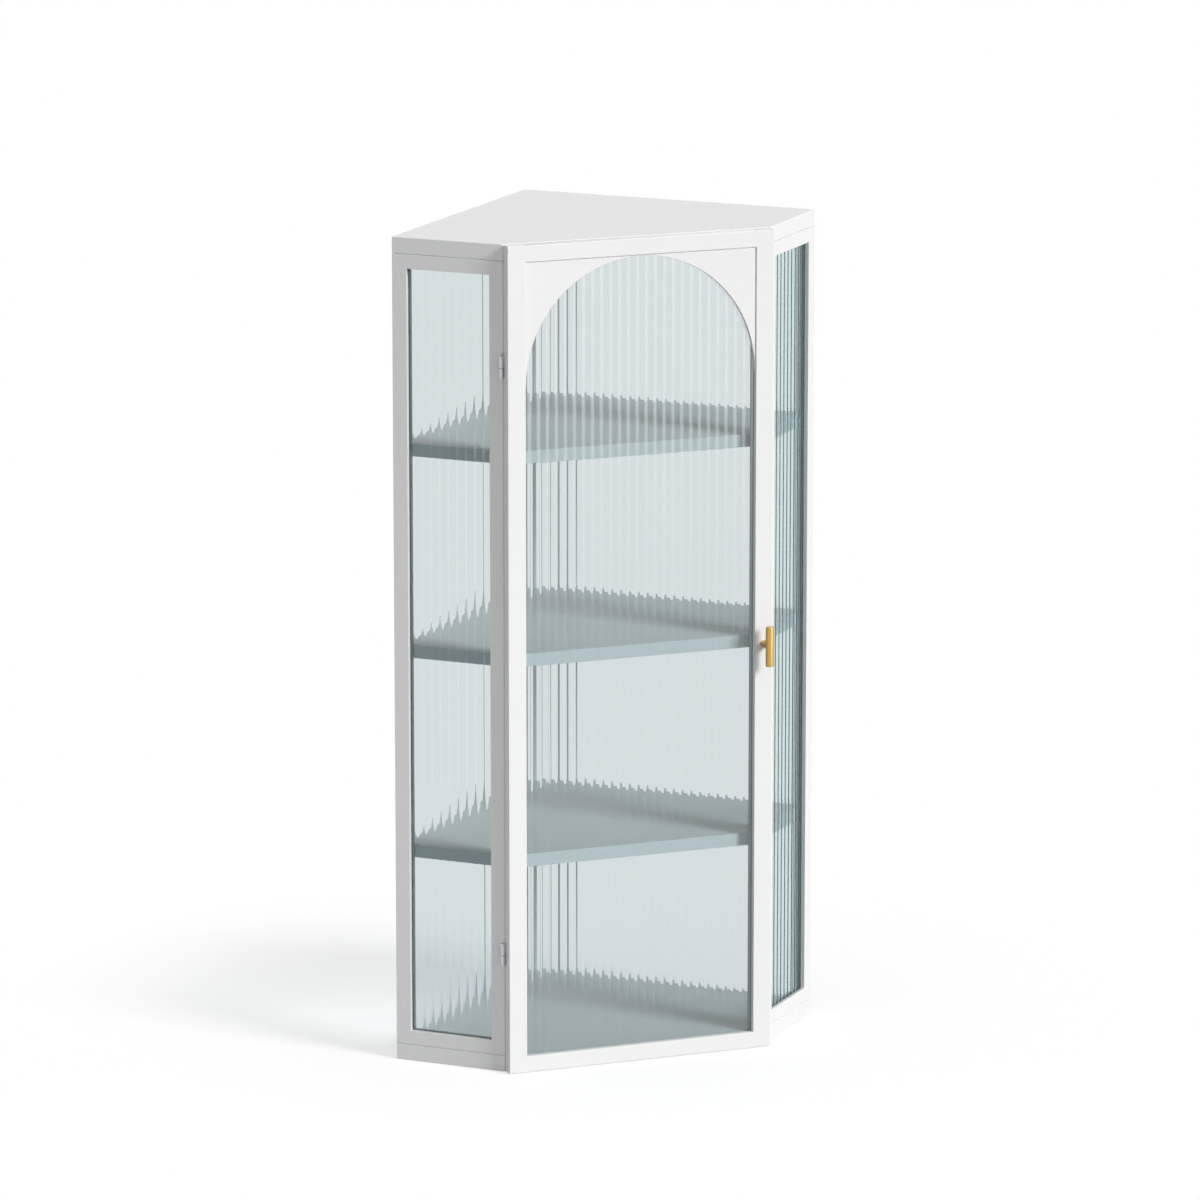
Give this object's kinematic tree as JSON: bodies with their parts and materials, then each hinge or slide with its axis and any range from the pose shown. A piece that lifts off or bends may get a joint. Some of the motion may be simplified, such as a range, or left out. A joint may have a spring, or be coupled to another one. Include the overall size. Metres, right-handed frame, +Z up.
{
  "type": "corner wall cabinet",
  "caption": "Wall cabinet for a room corner, open at the walls, with fluted glass sides, shelves, and a hinged fluted glass door with an arched top and a brass bar knob.",
  "frame": {"origin": "under the middle of the bounding box, on the plane of the bottom board's underside", "axes": "+Z up; -Y towards the room, square to the door; +X to the right as the door is seen from the room, the knob's side; the walls' corner is at the far +Y end"},
  "size_m": [0.647, 0.4903, 1.2],
  "materials": {
    "white_paint": "satin white paint on board",
    "fluted_glass": "clear, ribbed outside",
    "brass": "brushed",
    "zinc_steel": "bright zinc",
    "hinge_steel": "satin light grey",
    "magnet": "nickel plated"
  },
  "bodies": {
    "carcass": {"bottom_cap": "white_paint", "top_cap": "white_paint", "corner_post": "white_paint", "left_hanging_rail": "white_paint", "right_hanging_rail": "white_paint", "left_back_stile": "white_paint", "left_front_stile": "white_paint", "left_top_rail": "white_paint", "left_bottom_rail": "white_paint", "left_glass": "fluted_glass", "left_glazing_bead": "white_paint", "right_back_stile": "white_paint", "right_front_stile": "white_paint", "right_top_rail": "white_paint", "right_bottom_rail": "white_paint", "right_glass": "fluted_glass", "right_glazing_bead": "white_paint", "shelf_lower": "white_paint", "shelf_middle": "white_paint", "shelf_upper": "white_paint", "shelf_pin_lower_left_back": "zinc_steel", "shelf_pin_lower_left_front": "zinc_steel", "shelf_pin_lower_right_back": "zinc_steel", "shelf_pin_lower_right_front": "zinc_steel", "shelf_pin_middle_left_back": "zinc_steel", "shelf_pin_middle_left_front": "zinc_steel", "shelf_pin_middle_right_back": "zinc_steel", "shelf_pin_middle_right_front": "zinc_steel", "shelf_pin_upper_left_back": "zinc_steel", "shelf_pin_upper_left_front": "zinc_steel", "shelf_pin_upper_right_back": "zinc_steel", "shelf_pin_upper_right_front": "zinc_steel", "hinge_lower_frame_leaf": "hinge_steel", "hinge_upper_frame_leaf": "hinge_steel", "hinge_lower_pin": "zinc_steel", "hinge_upper_pin": "zinc_steel", "hinge_lower_frame_screw_low": "zinc_steel", "hinge_lower_frame_screw_high": "zinc_steel", "hinge_upper_frame_screw_low": "zinc_steel", "hinge_upper_frame_screw_high": "zinc_steel", "catch_magnet_lower": "magnet", "catch_magnet_upper": "magnet"},
    "door": {"door_left_stile": "white_paint", "door_right_stile": "white_paint", "door_top_rail": "white_paint", "door_bottom_rail": "white_paint", "door_arch_panel": "white_paint", "door_glass": "fluted_glass", "door_glazing_bead": "white_paint", "hinge_lower_door_leaf": "hinge_steel", "hinge_upper_door_leaf": "hinge_steel", "hinge_lower_door_screw_low": "zinc_steel", "hinge_lower_door_screw_high": "zinc_steel", "hinge_upper_door_screw_low": "zinc_steel", "hinge_upper_door_screw_high": "zinc_steel", "knob_bar": "brass", "knob_stem": "brass", "knob_screw": "zinc_steel", "catch_plate_lower": "zinc_steel", "catch_plate_upper": "zinc_steel"}
  },
  "joints": [
    {"name": "door_hinge", "type": "hinge", "parent": "carcass", "child": "door", "pos_m": [-0.20755, -0.20203, 0.6], "axis": [0, 0, -1], "range_deg": [0, 150]}
  ]
}
